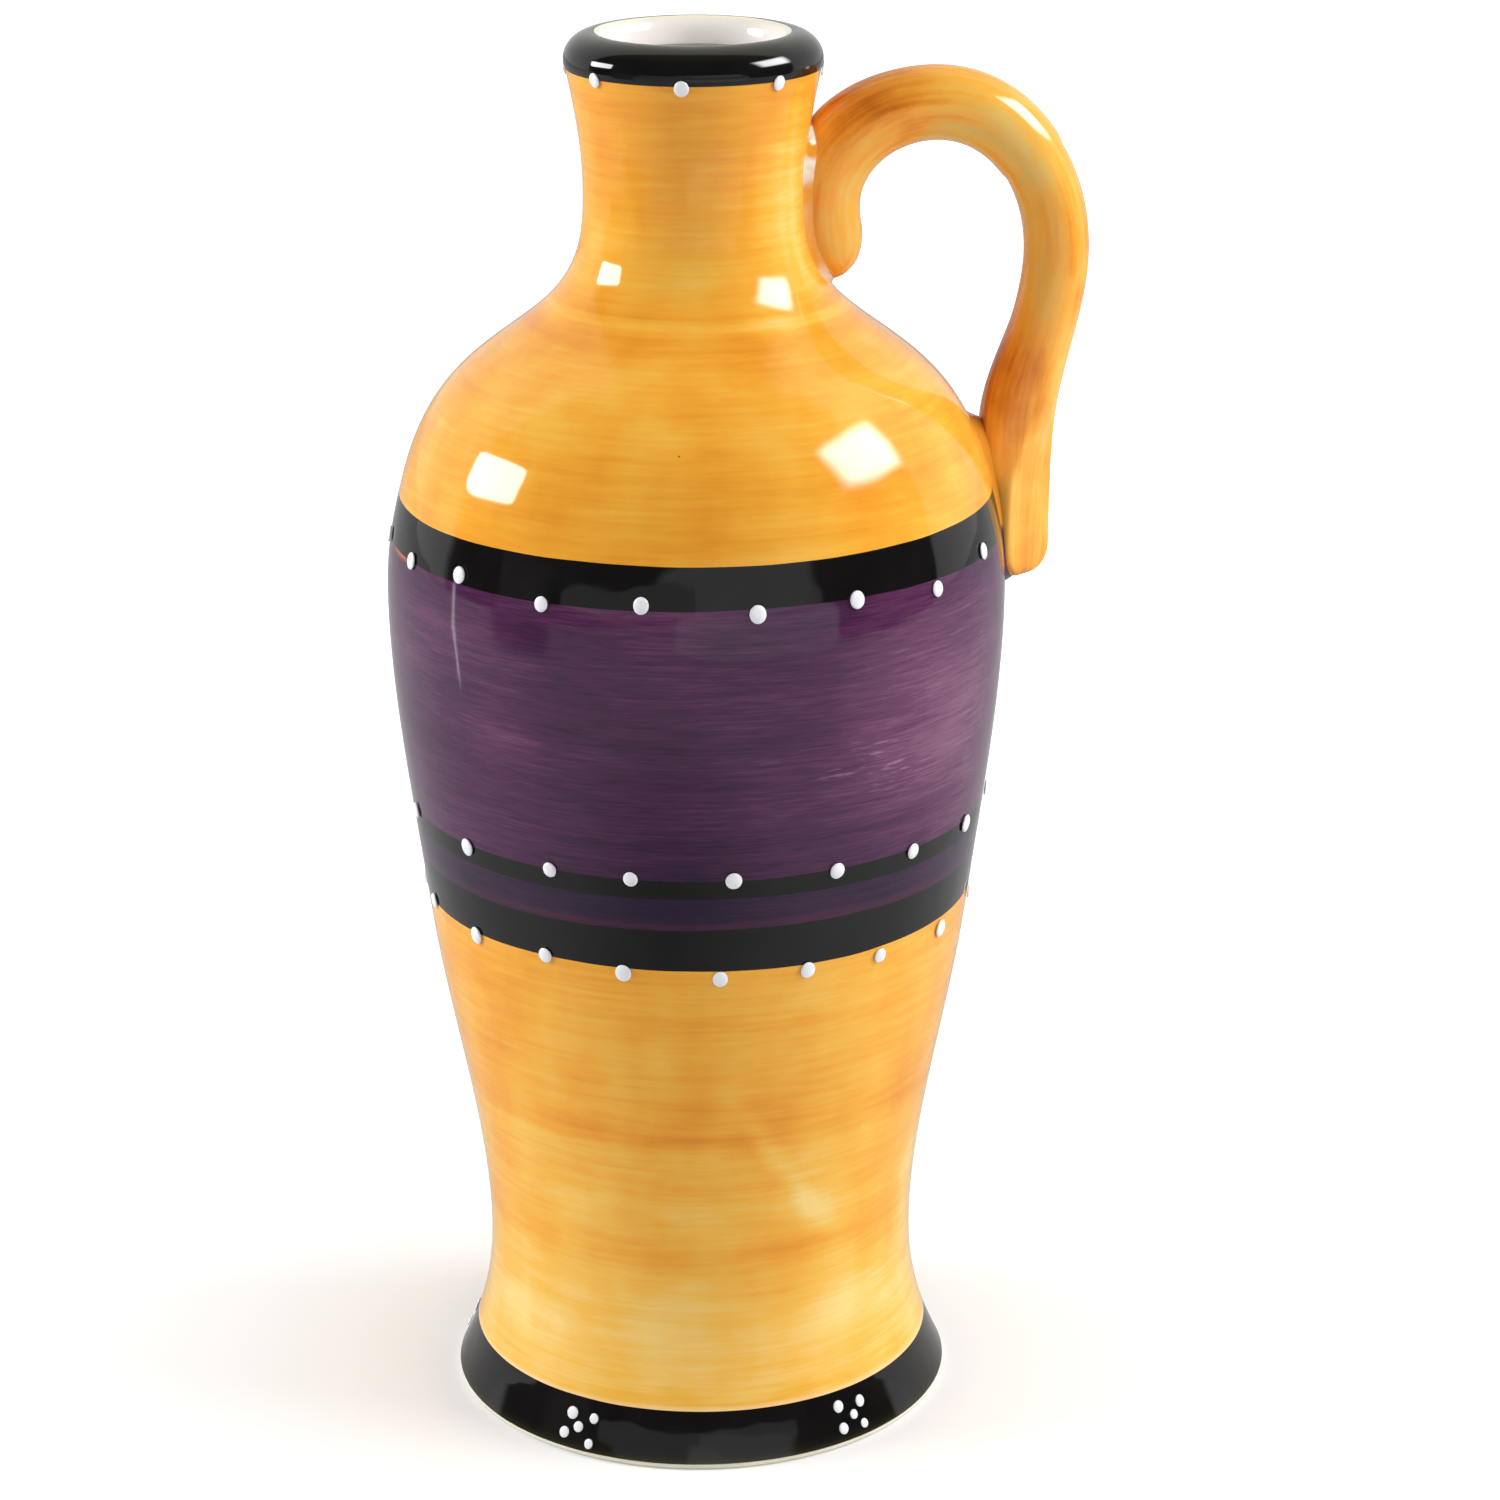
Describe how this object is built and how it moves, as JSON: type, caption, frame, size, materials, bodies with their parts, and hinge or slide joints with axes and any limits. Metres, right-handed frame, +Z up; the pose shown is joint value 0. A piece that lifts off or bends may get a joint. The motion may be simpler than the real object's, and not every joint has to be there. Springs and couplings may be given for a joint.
{
  "type": "vinegar jar",
  "caption": "Glazed earthenware vinegar jar: tall bottle body with flared foot, narrow neck, rolled lip and one loop handle, painted in bands with raised white dots.",
  "frame": {"origin": "on the jar's axis, at the table plane under the foot ring", "axes": "+Z up along the jar's axis, +X towards the handle"},
  "size_m": [0.1281, 0.113, 0.2582],
  "materials": {
    "bisque": "matt fired earthenware",
    "white_glaze": "gloss glaze",
    "black_glaze": "gloss glaze",
    "yellow_glaze": "gloss glaze, brushed",
    "purple_glaze": "gloss glaze, brushed",
    "joint_slip": "gloss glaze over slip",
    "white_enamel": "gloss raised enamel"
  },
  "bodies": {
    "root": {"clay_body": "bisque", "inner_glaze": "white_glaze", "foot_band": "black_glaze", "lower_coat": "yellow_glaze", "waist_band": "black_glaze", "purple_stripe": "purple_glaze", "belly_line": "black_glaze", "purple_band": "purple_glaze", "shoulder_band": "black_glaze", "neck_coat": "yellow_glaze", "lip_band": "black_glaze", "handle": "yellow_glaze", "upper_slip_pad": "joint_slip", "lower_slip_pad": "joint_slip", "lip_dots": "white_enamel", "shoulder_dots": "white_enamel", "line_dots": "white_enamel", "waist_dots": "white_enamel", "foot_flowers": "white_enamel"}
  },
  "joints": []
}
